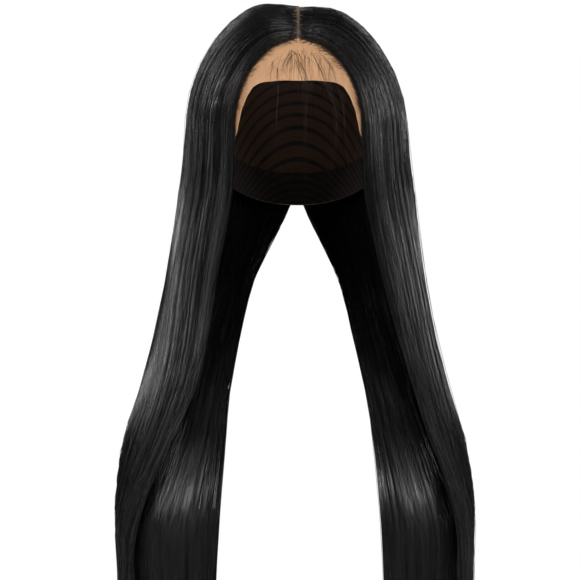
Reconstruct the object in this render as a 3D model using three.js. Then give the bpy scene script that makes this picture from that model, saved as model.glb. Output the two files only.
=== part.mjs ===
// Lace front wig: long straight hair with a centre part, on a stretch cap with a net front.
// Millimetres, +Z up. The face looks along -Y and the wearer's left is +X.
// The origin is the inside of the crown, where the cap rests on the top of the head.
// The hair of each side is three thick locks, which start at the part, lie over the cap
// and hang in front of the shoulder. The back lock sweeps forward past the neck.
import * as THREE from "three";

// Inside of the cap: an egg shape that is widest at the ear line, 560 mm round.
const headHalfWidth = 78;
const headHalfLength = 99;
const crownRise = 95; // ear line to crown
const napeDrop = 125; // the lower half of the egg, which the cap leaves early

// Cap and net
const laceWall = 1;
const capWall = 1.2;
const bandWall = 2;
const bandHeight = 24;
const seamGap = 0.5; // between the net, the cap and the band, edge to edge
const laceLift = 4; // how far the net's free edge stands off at the temples

// Hair
const hairSeat = 0.8; // room between the cap and the hair on it
// Thickness of the hair over the crown and at the ear line. The wearer's right side is fuller.
const headBulk = { left: 7.5, right: 12 };
const earBulk = { left: 12.5, right: 15.5 };
const overEar = 0.72; // of the thickness at the ear line, where the lock tables measure the hair over the ear
const hangingBulk = 14; // thickness of a hanging lock
const fallLength = 477; // ear line to the tips
const hemHalfWidth = 145;
const chestReach = 115; // how far forward of the ears the hair lies at the chest
const rightSpread = 10; // most that the hair hangs further out on the wearer's right side
const partHalfWidth = 1.1;
const medianGap = 0.3; // half the gap where left and right hair meet
const lockGap = 0.5; // half the gap between two locks on the head, as an arc
const leaveRise = 0.05; // share of fallLength above the ear line where a lock starts to leave the head
const hairlineFore = 0.68; // front end of the part, as a share of headHalfLength
const crownAft = 0.56; // back end of the part
const partSeamAft = 0.25; // back edge of the net on the part
const templeAngle = 50; // degrees forward of the ear where the front hair leaves the head
const grooveDepth = 0.3; // of the thickness, between two strands of a lock
const edgeWidth = 0.3; // of a lock, over which it thins towards its edge
const hangingEdge = 0.35; // thickness left at the edges of a hanging lock
const tipTaper = 0.45; // thickness left at the tips
const rootThickness = 0.16; // thickness at the part
const rootRise = 0.3; // of the way from part to ear, over which the hair reaches its full thickness
const closingRound = 0.2; // share of a side's hair over which the part closes behind the net

// Colours
const hairColour = 0x141314;
const laceColour = 0xc9a27a;
const capColour = 0x5a4030;
const bandColour = 0x2a211c;

const { degToRad, lerp, smoothstep } = THREE.MathUtils;
const earLine = -crownRise;
const hairFoot = Math.max(capWall, laceWall) + hairSeat;
const earHalfWidth = headHalfWidth + hairFoot + overEar * earBulk.left;
const hairBack = headHalfLength + hairFoot + earBulk.left;
const faceHalfWidth = (headHalfWidth + hairFoot) * Math.cos(degToRad(templeAngle));

// The net from ear to ear. Degrees: across, from the middle to the ear; front, the free edge,
// and seam, its back edge, both 0 at the forehead and 90 at the crown.
const laceRows = [
  { across: 0, front: 21.5, seam: 90 + (partSeamAft * 180) / Math.PI, lift: 0 },
  { across: 14, front: 22, seam: 103.5, lift: 0.05 },
  { across: 27, front: 20.5, seam: 101, lift: 0.35 },
  { across: 33, front: 10, seam: 99, lift: 1 },
  { across: 39, front: -3, seam: 96.5, lift: 0.12 },
  { across: 46, front: -13, seam: 93, lift: 0 },
  { across: 53, front: -16, seam: 88.5, lift: 0 },
  { across: 60, front: -6, seam: 83, lift: 0 },
  { across: 66, front: 12, seam: 78, lift: 0 },
  { across: 70, front: 25, seam: 75, lift: 0 },
];
const laceColumns = [0, 7, 14, 21, 27, 33, 39, 46, 53, 60, 66, 70];

// The cap behind the net, over the ears and down to the nape.
const capRows = [
  { across: 0, seam: laceRows[0].seam, hem: 214 },
  { across: 27, seam: 101, hem: 215.5 },
  { across: 46, seam: 93, hem: 218.5 },
  { across: 53, seam: 88.5, hem: 221 },
  { across: 60, seam: 83, hem: 222 },
  { across: 66, seam: 78, hem: 196 },
  { across: 70, seam: 75, hem: 170 },
  { across: 74, seam: 72, hem: 150 },
  { across: 79, seam: 72, hem: 122 },
];
const capColumns = [...laceColumns, 74, 79];
const bandEnd = 60; // degrees across, where the nape band stops behind the ear

// Sections of the hanging locks, by their drop from the ear line as a share of fallLength.
// Sideways: -1 at the middle, 0 at the face opening, 1 over the ear, 2 at the hem's outside.
// Forward: -1 at the back of the hair, 0 at the ears, 1 at the forehead, 2 at the chest.
// Bow and thick are shares of hangingBulk, and a bow is outwards. innerRight and outerRight
// are shares of rightSpread, by which the two edges hang further out on the wearer's right side.
const frontLock = {
  name: "hair_front",
  share: [0, 0.36],
  edges: [0.35, 0.85],
  rows: [
    {
      drop: 0.115, innerSide: 0.06, innerFore: 0.81, outerSide: 0.87, outerFore: 0.25, bow: 0.7, thick: 0.93,
      innerRight: 0, outerRight: 0.3,
    },
    {
      drop: 0.22, innerSide: 0.35, innerFore: 0.86, outerSide: 1.055, outerFore: 0.4, bow: 0.7, thick: 1,
      innerRight: -0.05, outerRight: 0.5,
    },
    {
      drop: 0.325, innerSide: 0.66, innerFore: 0.91, outerSide: 1.175, outerFore: 0.55, bow: 0.64, thick: 1,
      innerRight: -0.5, outerRight: 0.7,
    },
    {
      drop: 0.43, innerSide: 1.03, innerFore: 1, outerSide: 1.444, outerFore: 0.69, bow: 0.57, thick: 1,
      innerRight: -1.05, outerRight: 0.8,
    },
    {
      drop: 0.535, innerSide: 1.31, innerFore: 1.12, outerSide: 1.81, outerFore: 0.83, bow: 0.5, thick: 1,
      innerRight: -0.4, outerRight: 0.7,
    },
    {
      drop: 0.64, innerSide: 1.67, innerFore: 1.5, outerSide: 1.84, outerFore: 0.93, bow: 0.36, thick: 0.93,
      innerRight: 0, outerRight: 0.9,
    },
    {
      drop: 0.723, innerSide: 1.75, innerFore: 1.6, outerSide: 1.77, outerFore: 0.93, bow: 0.3, thick: 0.93,
      innerRight: 0.45, outerRight: 0.75,
    },
    {
      drop: 0.85, innerSide: 1.73, innerFore: 1.3, outerSide: 1.76, outerFore: 0.88, bow: 0.3, thick: 0.86,
      innerRight: 0.2, outerRight: 0.5,
    },
    {
      drop: 1, innerSide: 1.7, innerFore: 0.99, outerSide: 1.74, outerFore: 0.85, bow: 0.25, thick: 0.7,
      innerRight: 0.2, outerRight: 0.5,
    },
  ],
};
const sideLock = {
  name: "hair_side",
  share: [0.36, 0.68],
  edges: [0.85, 0.85],
  rows: [
    {
      drop: 0.115, innerSide: 0.92, innerFore: 0.22, outerSide: 0.52, outerFore: -0.64, bow: 0.93, thick: 1,
      innerRight: 0.3, outerRight: 0.1,
    },
    {
      drop: 0.22, innerSide: 1.095, innerFore: 0.37, outerSide: 0.45, outerFore: -0.665, bow: 0.86, thick: 1,
      innerRight: 0.5, outerRight: 0.2,
    },
    {
      drop: 0.325, innerSide: 1.215, innerFore: 0.515, outerSide: 0.68, outerFore: -0.285, bow: 0.8, thick: 1,
      innerRight: 0.7, outerRight: 0.35,
    },
    {
      drop: 0.43, innerSide: 1.484, innerFore: 0.66, outerSide: 0.86, outerFore: 0.21, bow: 0.6, thick: 1,
      innerRight: 0.8, outerRight: 0.5,
    },
    {
      drop: 0.535, innerSide: 1.79, innerFore: 0.78, outerSide: 1.05, outerFore: 0.48, bow: 0.43, thick: 1,
      innerRight: 0.7, outerRight: 0.5,
    },
    {
      drop: 0.64, innerSide: 1.8, innerFore: 0.85, outerSide: 1.22, outerFore: 0.61, bow: 0.4, thick: 0.93,
      innerRight: 0.65, outerRight: 0.45,
    },
    {
      drop: 0.744, innerSide: 1.75, innerFore: 0.83, outerSide: 1.4, outerFore: 0.61, bow: 0.36, thick: 0.86,
      innerRight: 0.55, outerRight: 0.3,
    },
    {
      drop: 0.85, innerSide: 1.75, innerFore: 0.78, outerSide: 1.4, outerFore: 0.61, bow: 0.36, thick: 0.8,
      innerRight: 0.5, outerRight: 0.2,
    },
    {
      drop: 0.98, innerSide: 1.73, innerFore: 0.75, outerSide: 1.38, outerFore: 0.61, bow: 0.3, thick: 0.65,
      innerRight: 0.5, outerRight: 0.2,
    },
  ],
};
const backLock = {
  name: "hair_back",
  share: [0.68, 1],
  edges: [0.85, 0.9],
  rows: [
    {
      drop: 0.115, innerSide: 0.37, innerFore: -0.67, outerSide: -1, outerFore: -0.945, bow: 0.86, thick: 1,
      innerRight: 0.1, outerRight: 0.1,
    },
    {
      drop: 0.189, innerSide: 0.39, innerFore: -0.53, outerSide: -0.74, outerFore: -0.86, bow: 0.5, thick: 1,
      innerRight: 0.2, outerRight: 0.2,
    },
    {
      drop: 0.252, innerSide: 0.54, innerFore: -0.38, outerSide: -0.36, outerFore: -0.66, bow: 0.15, thick: 1,
      innerRight: 0.25, outerRight: 0.25,
    },
    {
      drop: 0.314, innerSide: 0.68, innerFore: -0.1, outerSide: -0.2, outerFore: -0.38, bow: 0.05, thick: 1.07,
      innerRight: 0.35, outerRight: 0.35,
    },
    {
      drop: 0.377, innerSide: 0.84, innerFore: 0.13, outerSide: -0.09, outerFore: 0.02, bow: 0, thick: 1.14,
      innerRight: 0.45, outerRight: 0.3,
    },
    {
      drop: 0.44, innerSide: 1.02, innerFore: 0.42, outerSide: 0.105, outerFore: 0.36, bow: -0.29, thick: 1.28,
      innerRight: 0.5, outerRight: 0.3,
    },
    {
      drop: 0.514, innerSide: 1.16, innerFore: 0.64, outerSide: 0.267, outerFore: 0.63, bow: -0.5, thick: 1.36,
      innerRight: 0.5, outerRight: -0.1,
    },
    {
      drop: 0.597, innerSide: 1.46, innerFore: 0.83, outerSide: 0.367, outerFore: 0.85, bow: -0.6, thick: 1.43,
      innerRight: 0.5, outerRight: -0.2,
    },
    {
      drop: 0.681, innerSide: 1.69, innerFore: 0.93, outerSide: 0.44, outerFore: 1, bow: -0.6, thick: 1.4,
      innerRight: 0.75, outerRight: -0.25,
    },
    {
      drop: 0.786, innerSide: 1.67, innerFore: 0.95, outerSide: 0.5, outerFore: 1.03, bow: -0.55, thick: 1.36,
      innerRight: 0.45, outerRight: -0.2,
    },
    {
      drop: 0.89, innerSide: 1.66, innerFore: 0.93, outerSide: 0.53, outerFore: 1.01, bow: -0.5, thick: 1.28,
      innerRight: 0.3, outerRight: -0.2,
    },
    {
      drop: 0.97, innerSide: 1.64, innerFore: 0.91, outerSide: 0.57, outerFore: 0.98, bow: -0.5, thick: 1.14,
      innerRight: 0.25, outerRight: -0.2,
    },
  ],
};

// Faces of a lock
const lockStrands = 4; // ridges across one lock
const stepsPerStrand = 4;
const stepsOnHead = 8;
const stepsHanging = 12;
const tipStagger = 9; // how much shorter the grooves end than the ridges

// Smooth curve through a table: value of one column at a place along another.
function along(rows, key, column, place) {
  const last = rows.length - 1;
  const slope = (i) => {
    if (i === 0 || i === last) return 0;
    return (rows[i + 1][column] - rows[i - 1][column]) / (rows[i + 1][key] - rows[i - 1][key]);
  };
  if (place <= rows[0][key]) return rows[0][column];
  if (place >= rows[last][key]) return rows[last][column];
  const i = rows.findIndex((row) => row[key] > place) - 1;
  const span = rows[i + 1][key] - rows[i][key];
  const t = (place - rows[i][key]) / span;
  return (
    rows[i][column] * (1 + 2 * t) * (1 - t) ** 2 +
    rows[i + 1][column] * t * t * (3 - 2 * t) +
    slope(i) * span * t * (1 - t) ** 2 +
    slope(i + 1) * span * t * t * (t - 1)
  );
}

// A closed wall between two faces. point(u, v, face) places the corners, face 0 inside and 1 outside.
function wallGeometry(uSteps, vSteps, point) {
  const corners = [];
  const faces = [];
  const index = (i, j, face) => (face * (uSteps + 1) + i) * (vSteps + 1) + j;
  const quad = (a, b, c, d) => faces.push(a, b, c, a, c, d);
  for (const face of [0, 1]) {
    for (let i = 0; i <= uSteps; i++) {
      for (let j = 0; j <= vSteps; j++) corners.push(...point(i, j, face).toArray());
    }
  }
  for (let i = 0; i < uSteps; i++) {
    for (let j = 0; j < vSteps; j++) {
      quad(index(i, j, 1), index(i + 1, j, 1), index(i + 1, j + 1, 1), index(i, j + 1, 1));
      quad(index(i, j, 0), index(i, j + 1, 0), index(i + 1, j + 1, 0), index(i + 1, j, 0));
    }
    quad(index(i, 0, 0), index(i + 1, 0, 0), index(i + 1, 0, 1), index(i, 0, 1));
    quad(index(i + 1, vSteps, 0), index(i, vSteps, 0), index(i, vSteps, 1), index(i + 1, vSteps, 1));
  }
  for (let j = 0; j < vSteps; j++) {
    quad(index(0, j + 1, 0), index(0, j, 0), index(0, j, 1), index(0, j + 1, 1));
    quad(index(uSteps, j, 0), index(uSteps, j + 1, 0), index(uSteps, j + 1, 1), index(uSteps, j, 1));
  }
  if (signedVolume(corners, faces) < 0) faces.reverse();
  const geometry = new THREE.BufferGeometry();
  geometry.setAttribute("position", new THREE.Float32BufferAttribute(corners, 3));
  geometry.setIndex(faces);
  geometry.computeVertexNormals();
  return geometry;
}

function signedVolume(corners, faces) {
  const corner = (i) => new THREE.Vector3().fromArray(corners, faces[i] * 3);
  let volume = 0;
  for (let i = 0; i < faces.length; i += 3) volume += corner(i).dot(corner(i + 1).cross(corner(i + 2))) / 6;
  return volume;
}

// A point on the head form, standing off by a distance. Angles in degrees, as in the tables above.
function onHead(across, over, off) {
  const a = degToRad(across);
  const b = degToRad(over);
  const rise = (Math.sin(b) < 0 ? napeDrop : crownRise) + off;
  return new THREE.Vector3(
    (headHalfWidth + off) * Math.sin(a),
    -(headHalfLength + off) * Math.cos(a) * Math.cos(b),
    earLine + rise * Math.cos(a) * Math.sin(b),
  );
}

function mirrored(columns) {
  return [...columns.slice(1).reverse().map((c) => -c), ...columns];
}

// A patch of the cap between two edges, given as degrees over the head.
function patchGeometry(columns, overSteps, wall, startAt, endAt, liftAt = () => 0) {
  const places = mirrored(columns);
  return wallGeometry(places.length - 1, overSteps, (i, j, face) => {
    const across = Math.abs(places[i]);
    const share = j / overSteps;
    const over = lerp(startAt(across), endAt(across), share);
    return onHead(places[i], over, face * wall + liftAt(across, share));
  });
}

// Millimetres along the head as degrees over it, where the cap's own radius shrinks towards the ear.
function degreesOver(distance, across) {
  const radius = ((headHalfLength + crownRise) / 2) * Math.cos(degToRad(across));
  return THREE.MathUtils.radToDeg(distance / radius);
}

function laceFront() {
  const overSteps = 8;
  const liftedShare = 0.25; // of the way back from the free edge
  return patchGeometry(
    laceColumns,
    overSteps,
    laceWall,
    (across) => along(laceRows, "across", "front", across),
    (across) => along(laceRows, "across", "seam", across) - degreesOver(seamGap / 2, across),
    (across, share) =>
      laceLift * along(laceRows, "across", "lift", across) * Math.max(0, 1 - share / liftedShare) ** 2,
  );
}

// Where the cap stops: above the band at the nape, and at its own hem round the ear.
function capHem(across) {
  const hem = along(capRows, "across", "hem", across);
  return across > bandEnd ? hem : hem - degreesOver(bandHeight + seamGap, across);
}

function capCrown() {
  const overSteps = 12;
  return patchGeometry(
    capColumns,
    overSteps,
    capWall,
    (across) => along(capRows, "across", "seam", across) + degreesOver(seamGap / 2, across),
    capHem,
  );
}

function napeBand() {
  const overSteps = 2;
  return patchGeometry(
    capColumns.filter((across) => across <= bandEnd),
    overSteps,
    bandWall,
    (across) => capHem(across) + degreesOver(seamGap, across),
    (across) => along(capRows, "across", "hem", across),
  );
}

// Places named in the lock tables, in millimetres.
function sideways(share) {
  if (share < 0) return lerp(medianGap, faceHalfWidth, 1 + share);
  if (share < 1) return lerp(faceHalfWidth, earHalfWidth, share);
  return lerp(earHalfWidth, hemHalfWidth, share - 1);
}
function backwards(share) {
  if (share < 0) return -share * hairBack;
  if (share < 1) return -share * headHalfLength;
  return -lerp(headHalfLength, chestReach, share - 1);
}

// Where the hair at a place round the head starts on the part, and where it crosses the ear line,
// both as shares of the head's half width and half length.
function rootPlace(round) {
  return lerp(-hairlineFore, crownAft, round);
}
function earLinePlace(round) {
  const angle = degToRad(lerp(-templeAngle, 90, round));
  return new THREE.Vector2(Math.cos(angle), Math.sin(angle));
}

// Half the gap between left and right hair: the part shows as far back as the net reaches.
function rootHalfGap(round) {
  const netEnds = THREE.MathUtils.inverseLerp(-hairlineFore, crownAft, partSeamAft);
  return lerp(partHalfWidth, medianGap, smoothstep(round, netEnds, netEnds + closingRound));
}

// A point of the hair on the head: down is 0 at the part and 1 at the ear line. Seen from above,
// the hair runs straight from its root, so on the head it follows an arc about the foot of that line.
function hairOnHead(round, down, off) {
  const root = new THREE.Vector2(0, rootPlace(round));
  const run = earLinePlace(round).sub(root).normalize();
  const start = root.dot(run);
  const foot = root.clone().addScaledVector(run, -start);
  const radius = Math.sqrt(1 - foot.lengthSq());
  const turn = lerp(Math.asin(start / radius), Math.PI / 2, down);
  const plan = foot.addScaledVector(run, radius * Math.sin(turn));
  return new THREE.Vector3(
    Math.max(rootHalfGap(round), plan.x * (headHalfWidth + off)),
    plan.y * (headHalfLength + off),
    earLine + radius * Math.cos(turn) * (crownRise + off),
  );
}

// Thickness across a lock: thin at its edges, with a groove between its strands.
function fullness(place, edges) {
  const first = 1 - smoothstep(place, 0, edgeWidth);
  const last = smoothstep(place, 1 - edgeWidth, 1);
  const groove = 1 - Math.sqrt(Math.abs(Math.sin(Math.PI * lockStrands * place)));
  return (1 - (1 - edges[0]) * first - (1 - edges[1]) * last) * (1 - grooveDepth * groove);
}

// A section of a hanging lock: the point at a place across it, on the inside or the outside.
function hangingPoint(row, place, face) {
  const inner = new THREE.Vector2(sideways(row.innerSide), backwards(row.innerFore));
  const outer = new THREE.Vector2(sideways(row.outerSide), backwards(row.outerFore));
  const chord = outer.clone().sub(inner);
  const bow = row.bow * hangingBulk;
  const away = new THREE.Vector2(chord.y, -chord.x).normalize();
  const slope = chord.clone().addScaledVector(away, 4 * bow * (1 - 2 * place));
  const normal = new THREE.Vector2(slope.y, -slope.x).normalize();
  const half = (row.thick * hangingBulk * fullness(place, [hangingEdge, hangingEdge])) / 2;
  return inner
    .addScaledVector(chord, place)
    .addScaledVector(away, 4 * bow * place * (1 - place))
    .addScaledVector(normal, face ? half : -half);
}

// A lock from the part to its tips.
function lockGeometry(lock, side) {
  const across = lockStrands * stepsPerStrand;
  const gap = lockGap / (earHalfWidth + hairBack);
  const start = lock.share[0] > 0 ? lock.share[0] + gap : 0;
  const end = lock.share[1] < 1 ? lock.share[1] - gap : 1;
  const tipDrop = lock.rows[lock.rows.length - 1].drop;
  const sideSign = side === "left" ? 1 : -1;

  return wallGeometry(across, stepsOnHead + stepsHanging, (i, j, face) => {
    const place = i / across;
    const round = lerp(start, end, place);
    const full = fullness(place, lock.edges);
    if (j <= stepsOnHead) {
      const down = j / stepsOnHead;
      const rise = lerp(rootThickness, 1, smoothstep(down, 0, rootRise));
      const bulk = lerp(headBulk[side], earBulk[side], down ** 3);
      const point = hairOnHead(round, down, hairFoot + face * bulk * full * rise);
      point.x *= sideSign;
      return point;
    }
    // The lock leaves the ear line on a slant, so its first place counts a little above it too.
    const atEar = hairOnHead(round, 1, hairFoot + face * earBulk[side] * full);
    const sections = [
      { drop: -leaveRise, x: atEar.x, y: atEar.y },
      { drop: 0, x: atEar.x, y: atEar.y },
      ...lock.rows.map((row) => {
        const p = hangingPoint(row, place, face);
        const spread = side === "right" ? rightSpread * lerp(row.innerRight, row.outerRight, place) : 0;
        return { drop: row.drop, x: p.x + spread, y: p.y };
      }),
    ];
    const share = (j - stepsOnHead) / stepsHanging;
    const stagger = (tipStagger / fallLength) * (1 - Math.abs(Math.sin(Math.PI * lockStrands * place)));
    const drop = share * (tipDrop - stagger);
    const middle = hangingMiddle(lock, sections, drop, place, side);
    const taper = lerp(1, tipTaper, smoothstep(share, 1 - 1 / stepsHanging, 1));
    const x = lerp(middle.x, along(sections, "drop", "x", drop), taper);
    const y = lerp(middle.y, along(sections, "drop", "y", drop), taper);
    return new THREE.Vector3(sideSign * Math.max(medianGap, x), y, earLine - drop * fallLength);
  });
}

// The middle of the lock's thickness near its tips, towards which the tips taper.
function hangingMiddle(lock, sections, drop, place, side) {
  const lastRow = lock.rows[lock.rows.length - 1];
  const share = side === "right" ? lerp(lastRow.innerRight, lastRow.outerRight, place) : 0;
  const inside = hangingPoint(lastRow, place, 0);
  const outside = hangingPoint(lastRow, place, 1);
  const last = sections[sections.length - 1];
  return {
    x: along(sections, "drop", "x", drop) - last.x + (inside.x + outside.x) / 2 + rightSpread * share,
    y: along(sections, "drop", "y", drop) - last.y + (inside.y + outside.y) / 2,
  };
}

function mesh(name, geometry, colour, roughness) {
  const material = new THREE.MeshStandardMaterial({ color: colour, roughness, metalness: 0 });
  const made = new THREE.Mesh(geometry, material);
  made.name = name;
  return made;
}

const wig = new THREE.Group();
wig.name = "lace_front_wig";

const cap = new THREE.Group();
cap.add(mesh("lace_front", laceFront(), laceColour, 0.8));
cap.add(mesh("cap_crown", capCrown(), capColour, 0.85));
cap.add(mesh("nape_band", napeBand(), bandColour, 0.75));
wig.add(cap);

for (const side of ["left", "right"]) {
  const hair = new THREE.Group();
  for (const lock of [frontLock, sideLock, backLock]) {
    hair.add(mesh(`${lock.name}_${side}`, lockGeometry(lock, side), hairColour, 0.35));
  }
  wig.add(hair);
}

export default wig;
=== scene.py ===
# Lace front wig: a sheer net front, a stretch cap and long straight black hair with a centre part.
# Metres, +Z up, and the front is at -Y. Each side's hair is three thick locks: a ridged
# core for the mass of the hair, with loose strands laid over it.
import math
import bpy
import numpy as np
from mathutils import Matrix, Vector


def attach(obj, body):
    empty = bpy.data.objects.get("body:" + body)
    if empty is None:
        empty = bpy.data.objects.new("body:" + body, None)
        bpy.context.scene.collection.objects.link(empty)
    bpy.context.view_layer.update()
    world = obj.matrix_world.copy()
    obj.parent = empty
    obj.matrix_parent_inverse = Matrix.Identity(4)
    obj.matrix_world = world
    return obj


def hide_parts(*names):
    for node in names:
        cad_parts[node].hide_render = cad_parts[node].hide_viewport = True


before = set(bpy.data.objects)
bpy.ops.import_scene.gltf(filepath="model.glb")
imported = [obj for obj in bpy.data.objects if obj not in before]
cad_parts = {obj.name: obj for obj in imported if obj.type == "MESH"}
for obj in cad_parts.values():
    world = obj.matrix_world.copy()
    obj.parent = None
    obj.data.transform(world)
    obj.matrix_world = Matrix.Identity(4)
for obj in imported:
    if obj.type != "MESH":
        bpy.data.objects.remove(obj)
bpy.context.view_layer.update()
print("frame loaded, nodes:", len(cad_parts))

# The inside of the cap, an egg that is widest at the ear line
headForm = {
    "halfWidth": 0.078,
    "halfLength": 0.099,
    "crownRise": 0.095,  # ear line to crown, where the origin is
    "napeDrop": 0.125,
}
earLine = -headForm["crownRise"]

hairForm = {
    "foot": 0.0020,  # from the cap's inside to the underside of the hair
    "headBulk": {1: 0.0075, -1: 0.012},  # thickness over the crown, wearer's left and right
    "earBulk": {1: 0.0125, -1: 0.0155},  # and at the ear line
    "overEar": 0.72,  # share of earBulk at which the lock tables measure the hair over the ear
    "hangingBulk": 0.014,  # thickness of a hanging lock
    "fallLength": 0.477,  # ear line to tips
    "hemHalfWidth": 0.145,
    "chestReach": 0.115,
    "rightSpread": 0.01,
    "partHalfWidth": 0.0007,
    "medianGap": 0.0003,
    "lockGap": 0.0002,  # half the gap between two locks, as an arc over the cap
    "hairlineFore": 0.68,  # front end of the part, as a share of halfLength
    "crownAft": 0.56,
    "partNetAft": 0.25,  # where the net ends along the part
    "templeAngle": 50,  # degrees forward of the ear
    "edgeWidth": 0.3,
    "hangingEdge": 0.35,
    "rootThickness": 0.16,
    "rootRise": 0.3,
}
earHalfWidth = headForm["halfWidth"] + hairForm["foot"] + hairForm["overEar"] * hairForm["earBulk"][1]
hairBack = headForm["halfLength"] + hairForm["foot"] + hairForm["earBulk"][1]
sideNames = {1: "left", -1: "right"}  # the wearer's
faceHalfWidth = (headForm["halfWidth"] + hairForm["foot"]) * math.cos(math.radians(hairForm["templeAngle"]))

# The locks, one row for each section below the ear line: drop as a share of fallLength, then
# where the two edges lie (see sideways and backwards), how far the lock bows out and how thick
# it is, as shares of hangingBulk. The last two are shares of rightSpread, by which the two
# edges hang further out on the wearer's right side.
lockPlans = {
    "front": {
        "share": (0, 0.36),
        "edges": (0.35, 0.85),
        "rows": [
            (0.115, 0.06, 0.81, 0.87, 0.25, 0.7, 0.93, 0, 0.3),
            (0.22, 0.35, 0.86, 1.055, 0.4, 0.7, 1, -0.05, 0.5),
            (0.325, 0.66, 0.91, 1.175, 0.55, 0.64, 1, -0.5, 0.7),
            (0.43, 1.03, 1, 1.444, 0.69, 0.57, 1, -1.05, 0.8),
            (0.535, 1.31, 1.12, 1.81, 0.83, 0.5, 1, -0.4, 0.7),
            (0.64, 1.67, 1.5, 1.84, 0.93, 0.36, 0.93, 0, 0.9),
            (0.723, 1.75, 1.6, 1.77, 0.93, 0.3, 0.93, 0.45, 0.75),
            (0.85, 1.73, 1.3, 1.76, 0.88, 0.3, 0.86, 0.2, 0.5),
            (1, 1.7, 0.99, 1.74, 0.85, 0.25, 0.7, 0.2, 0.5),
        ],
    },
    "side": {
        "share": (0.36, 0.68),
        "edges": (0.85, 0.85),
        "rows": [
            (0.115, 0.92, 0.22, 0.52, -0.64, 0.93, 1, 0.3, 0.1),
            (0.22, 1.095, 0.37, 0.45, -0.665, 0.86, 1, 0.5, 0.2),
            (0.325, 1.215, 0.515, 0.68, -0.285, 0.8, 1, 0.7, 0.35),
            (0.43, 1.484, 0.66, 0.86, 0.21, 0.6, 1, 0.8, 0.5),
            (0.535, 1.79, 0.78, 1.05, 0.48, 0.43, 1, 0.7, 0.5),
            (0.64, 1.8, 0.85, 1.22, 0.61, 0.4, 0.93, 0.65, 0.45),
            (0.744, 1.75, 0.83, 1.4, 0.61, 0.36, 0.86, 0.55, 0.3),
            (0.85, 1.75, 0.78, 1.4, 0.61, 0.36, 0.8, 0.5, 0.2),
            (0.98, 1.73, 0.75, 1.38, 0.61, 0.3, 0.65, 0.5, 0.2),
        ],
    },
    "back": {
        "share": (0.68, 1),
        "edges": (0.85, 0.9),
        "rows": [
            (0.115, 0.37, -0.67, -1, -0.945, 0.86, 1, 0.1, 0.1),
            (0.189, 0.39, -0.53, -0.74, -0.86, 0.5, 1, 0.2, 0.2),
            (0.252, 0.54, -0.38, -0.36, -0.66, 0.15, 1, 0.25, 0.25),
            (0.314, 0.68, -0.1, -0.2, -0.38, 0.05, 1.07, 0.35, 0.35),
            (0.377, 0.84, 0.13, -0.09, 0.02, 0, 1.14, 0.45, 0.3),
            (0.44, 1.02, 0.42, 0.105, 0.36, -0.29, 1.28, 0.5, 0.3),
            (0.514, 1.16, 0.64, 0.267, 0.63, -0.5, 1.36, 0.5, -0.1),
            (0.597, 1.46, 0.83, 0.367, 0.85, -0.6, 1.43, 0.5, -0.2),
            (0.681, 1.69, 0.93, 0.44, 1, -0.6, 1.4, 0.75, -0.25),
            (0.786, 1.67, 0.95, 0.5, 1.03, -0.55, 1.36, 0.45, -0.2),
            (0.89, 1.66, 0.93, 0.53, 1.01, -0.5, 1.28, 0.3, -0.2),
            (0.97, 1.64, 0.91, 0.57, 0.98, -0.5, 1.14, 0.25, -0.2),
        ],
    },
}

coreLook = {
    "columns": 52,  # across a lock
    "headRows": 26,
    "hangingRows": 40,
    "bundles": 4,  # thick bundles in a lock, as in the part itself
    "bundleDepth": 0.0014,
    "sunk": 0.0010,  # how far the core lies under the strands
    "strands": 150,  # strands drawn across it by its material
}
partingLook = {
    "depth": 0.0022,  # of the narrow partings between bundles, dark from their depth and from painted shade on the strands in them
    "width": 0.0006,
    "every": 0.005,  # metres of hair for each parting
}
strandLook = {
    "count": {"front": 260, "side": 260, "back": 950, "skin": 1560},
    "headSteps": (0, 0.4, 1, 2, 3.5, 5.5, 8, 11, 14.5, 18.5, 22),  # rows of the lock, close at the root
    "hangingSteps": 10,
    "radius": 0.00026,
    "layer": 0.0008,  # how deep the loose top layer is
    "fromRoot": 0.85,  # share of strands that start at the root
    "lateStart": 0.3,  # how far down the others may start
    "tipSpread": 0.10,  # how far above the tips the shortest strand ends
    "wispWidth": 0.0015,  # thin bundles side by side
    "darkShare": 0.35,  # share of them that are dark
    "darkTone": (0, 0.2),
    "lightTone": (0.45, 1),
    "ownTone": 0.16,  # how far a strand may differ from its bundle
    "gather": 0.5,  # how far the strands of a bundle draw together towards the tips
    "stray": 0.014,  # share of strands that stand off
    "strayLift": 0.0026,
    "crossing": 0.03,  # share of strands that slant over the others
    "slant": 0.12,  # how far across they go
    "paintedHighlight": 0.06,  # share of strands given a much lighter colour, a painted highlight for strands that catch the light
    "paintedHighlightGain": (2.5, 7),
}
skinForm = {
    "columns": 120,
    "places": 60,  # across each of the two locks under it
    "under": 0.001,
    "behind": 0.68,  # where the skin of hair ends behind the ear, as a share of the way round
    "backEdge": 0.85,  # thickness of the hair there
    "rounding": 8,  # passes that even out the fall of the hair
}


def smoothThrough(keys, values, at):
    # smooth curve through a table, level at its two ends
    keys = np.asarray(keys, float)
    values = np.asarray(values, float)
    at = np.clip(np.asarray(at, float), keys[0], keys[-1])
    tail = (1,) * (values.ndim - 1)
    slopes = np.zeros_like(values)
    slopes[1:-1] = (values[2:] - values[:-2]) / (keys[2:] - keys[:-2]).reshape(-1, *tail)
    i = np.clip(np.searchsorted(keys, at, side="right") - 1, 0, len(keys) - 2)
    span = (keys[i + 1] - keys[i]).reshape(-1, *tail)
    t = (at - keys[i]).reshape(-1, *tail) / span
    return (
        values[i] * (1 + 2 * t) * (1 - t) ** 2
        + values[i + 1] * t * t * (3 - 2 * t)
        + slopes[i] * span * t * (1 - t) ** 2
        + slopes[i + 1] * span * t * t * (t - 1)
    )


def easeIn(value, low, high):
    t = np.clip((np.asarray(value, float) - low) / (high - low), 0, 1)
    return t * t * (3 - 2 * t)


def stepsAlong(points):
    return np.linalg.norm(np.diff(points, axis=0), axis=1)


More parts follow.
